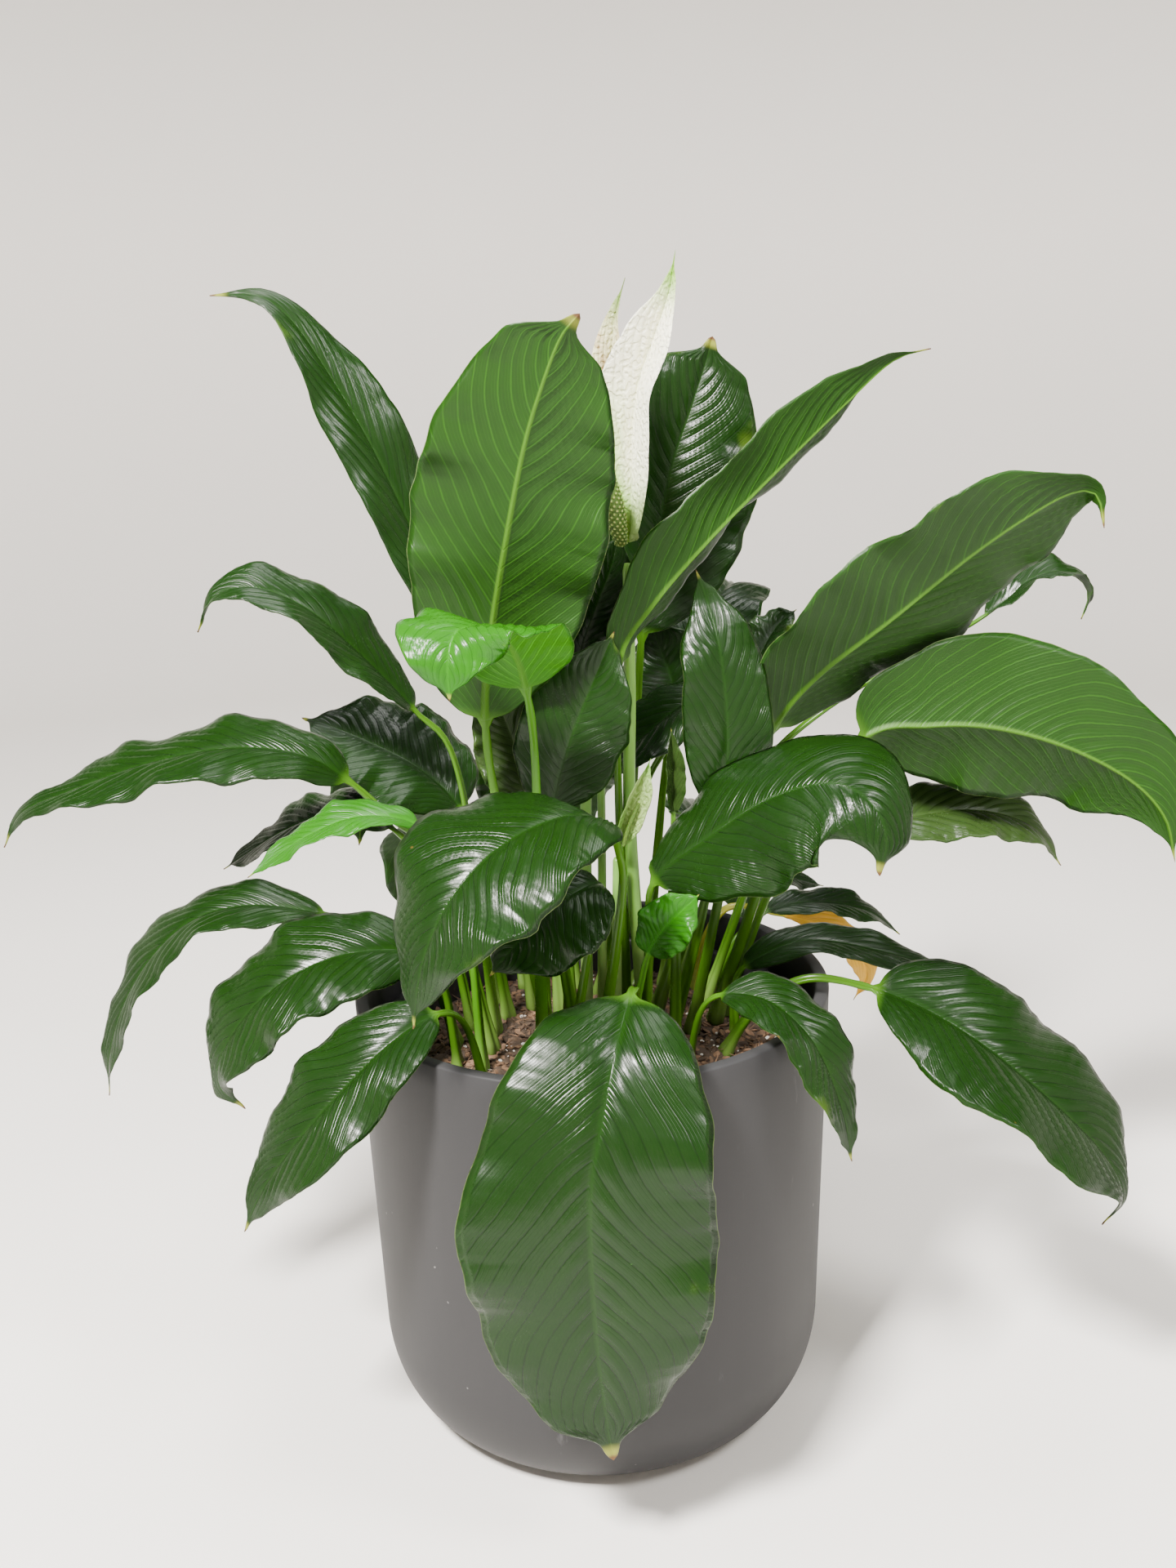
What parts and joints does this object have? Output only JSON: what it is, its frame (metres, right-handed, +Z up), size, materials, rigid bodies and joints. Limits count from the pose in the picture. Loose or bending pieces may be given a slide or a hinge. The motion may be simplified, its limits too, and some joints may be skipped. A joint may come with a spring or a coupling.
{
  "type": "potted peace lily",
  "caption": "Peace lily with glossy arching leaves, white hooded flowers and a spadix, growing in a ribbed nursery pot inside a round planter with a curved base.",
  "frame": {"origin": "centre of the planter's flat base, on the surface it stands on", "axes": "+Z up along the planter's axis; -Y towards the side where the broad leaf hangs over the rim; +X to that side's right"},
  "size_m": [0.741, 0.491, 0.7261],
  "materials": {
    "planter": "matte",
    "nursery_pot": "satin",
    "soil": "matte",
    "leaf": "gloss",
    "bright_leaf": "satin",
    "olive_leaf": "satin",
    "yellowed_leaf": "matte",
    "stalk": "satin",
    "white_spathe": "satin",
    "aged_spathe": "matte",
    "spadix": "matte"
  },
  "bodies": {
    "root": {"planter": "planter", "nursery_pot": "nursery_pot", "potting_soil": "soil", "arching_leaf_upper_left": "leaf", "broad_leaf_centre": "leaf", "upright_leaf_back_right": "leaf", "diagonal_leaf_right": "leaf", "broad_leaf_upper_right": "leaf", "drooping_leaf_right": "leaf", "glossy_leaf_centre_right": "leaf", "small_leaf_far_right": "leaf", "dark_leaf_far_right": "leaf", "olive_leaf_right": "olive_leaf", "glossy_leaf_lower_right": "leaf", "small_leaf_rim_right": "leaf", "arching_leaf_right_back": "leaf", "arching_leaf_right_front": "leaf", "yellowed_leaf": "yellowed_leaf", "front_drooping_leaf": "leaf", "glossy_leaf_front_left": "leaf", "shaded_leaf_front_left": "leaf", "long_leaf_left": "leaf", "dark_leaf_back_left": "leaf", "arching_leaf_left": "leaf", "small_leaf_left": "bright_leaf", "dark_leaf_left": "leaf", "twisted_leaf_left": "leaf", "leaf_lower_left": "leaf", "glossy_leaf_lower_left": "leaf", "curled_bright_leaf": "bright_leaf", "olive_leaf_centre_left": "olive_leaf", "dark_leaf_centre": "leaf", "small_upright_leaf": "leaf", "upright_leaf_centre_right": "leaf", "small_leaf_back_right": "leaf", "grey_leaf_back_centre": "leaf", "dark_leaf_back_centre": "leaf", "rolled_olive_leaf": "olive_leaf", "small_bright_leaf": "bright_leaf", "leaf_back_rim": "leaf", "back_leaf_centre": "leaf", "back_leaf_low_right": "leaf", "back_leaf_low_left": "leaf", "back_leaf_upper_left": "leaf", "back_leaf_upper_right": "leaf", "back_leaf_mid_left": "leaf", "open_flower_stalk": "stalk", "open_flower_spathe": "white_spathe", "open_flower_spadix": "spadix", "aged_flower_stalk": "stalk", "aged_flower_spathe": "aged_spathe", "aged_flower_spadix": "spadix", "spathe_bud_stalk": "stalk", "spathe_bud_spathe": "bright_leaf", "spathe_bud_spadix": "spadix", "young_flower_stalk": "stalk", "young_flower_spathe": "bright_leaf", "young_flower_spadix": "spadix"}
  },
  "joints": []
}
